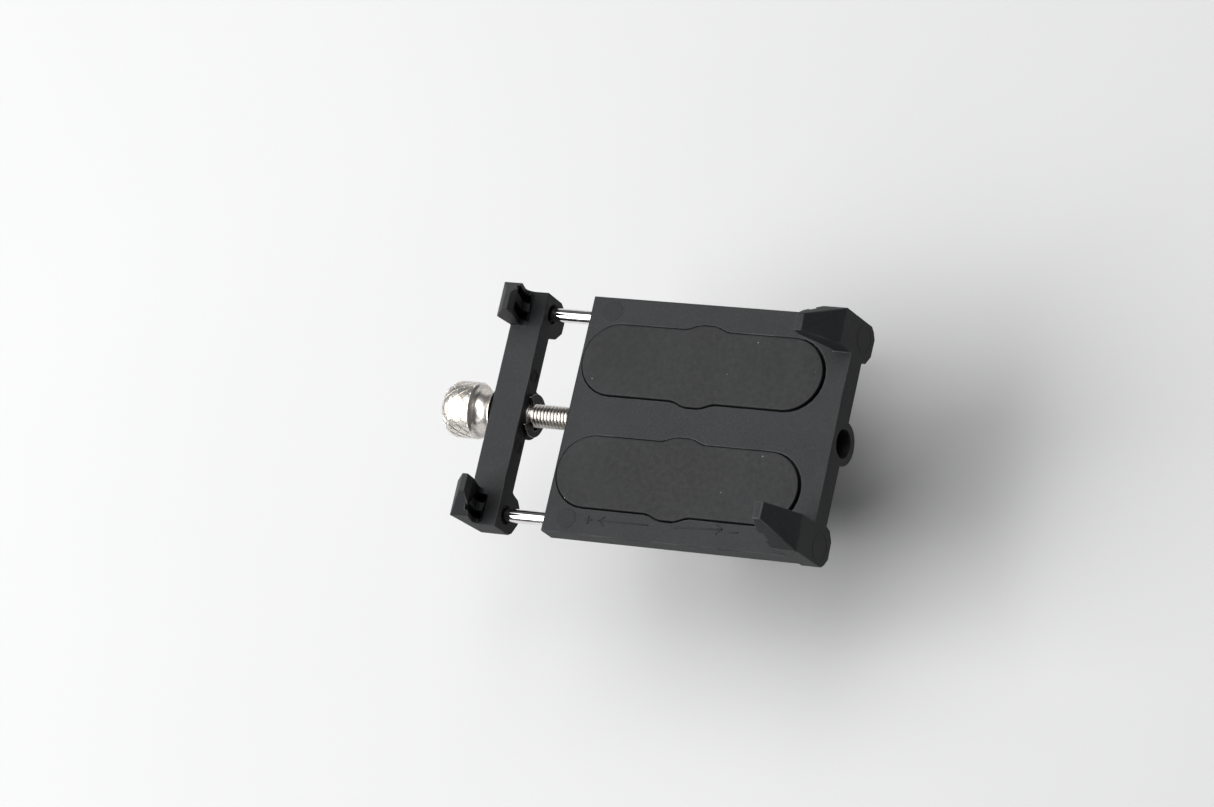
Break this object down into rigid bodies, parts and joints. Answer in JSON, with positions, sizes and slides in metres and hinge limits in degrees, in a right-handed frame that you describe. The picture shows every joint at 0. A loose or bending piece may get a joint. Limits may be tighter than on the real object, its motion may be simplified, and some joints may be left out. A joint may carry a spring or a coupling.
{
  "type": "phone mount",
  "caption": "Handlebar phone holder: flat tray with inlaid grip pads, fixed corner claws, a screw-driven clawed jaw on guide rods and a hinged bar clamp below.",
  "frame": {"origin": "centre of the handlebar clamp, on the bar's axis", "axes": "+X along the bar, from the moving jaw to the fixed claws; +Y away from the rider; +Z out of the tray's top face"},
  "size_m": [0.0933, 0.058, 0.0591],
  "materials": {
    "nylon": "fine matte texture",
    "pad": "smooth matte, slightly dusty",
    "shim": "matte",
    "rod": "polished",
    "steel": "bright nickel plate",
    "black_steel": "black oxide",
    "brass": "machined"
  },
  "bodies": {
    "mount": {"tray": "nylon", "pad_rear": "pad", "pad_front": "pad", "screw_insert": "brass", "saddle": "nylon", "shim_top": "shim", "hinge_pin": "steel", "clamp_nut": "steel", "tray_screw_1": "steel", "tray_screw_2": "steel", "tray_screw_3": "steel", "tray_screw_4": "steel"},
    "carriage": {"jaw": "nylon", "rod_rear": "rod", "rod_front": "rod"},
    "screw": {"thumb_screw": "steel", "e_clip": "black_steel"},
    "lower_clamp": {"strap": "nylon", "shim_bottom": "shim"},
    "bolt": {"clamp_bolt": "black_steel", "clamp_washer": "steel"}
  },
  "joints": [
    {"name": "jaw_slide", "type": "slide", "parent": "mount", "child": "carriage", "axis": [1, 0, 0], "range_m": [-0.027, 0.0097]},
    {"name": "screw_turn", "type": "hinge", "parent": "carriage", "child": "screw", "pos_m": [-0.028, -0.005, 0.02335], "axis": [1, 0, 0], "range_deg": [-12150, 4365]},
    {"name": "strap_hinge", "type": "hinge", "parent": "mount", "child": "lower_clamp", "pos_m": [0, -0.0192, 0], "axis": [-1, 0, 0], "range_deg": [0, 2]},
    {"name": "bolt_turn", "type": "hinge", "parent": "lower_clamp", "child": "bolt", "pos_m": [0, 0.0214, -0.008], "axis": [0, 0, -1], "range_deg": [0, 637.5]}
  ],
  "couplings": [
    {"joint": "screw_turn", "follows": "jaw_slide", "rad_per_m": 7854},
    {"joint": "strap_hinge", "follows": "bolt_turn", "ratio": 0.003136}
  ]
}
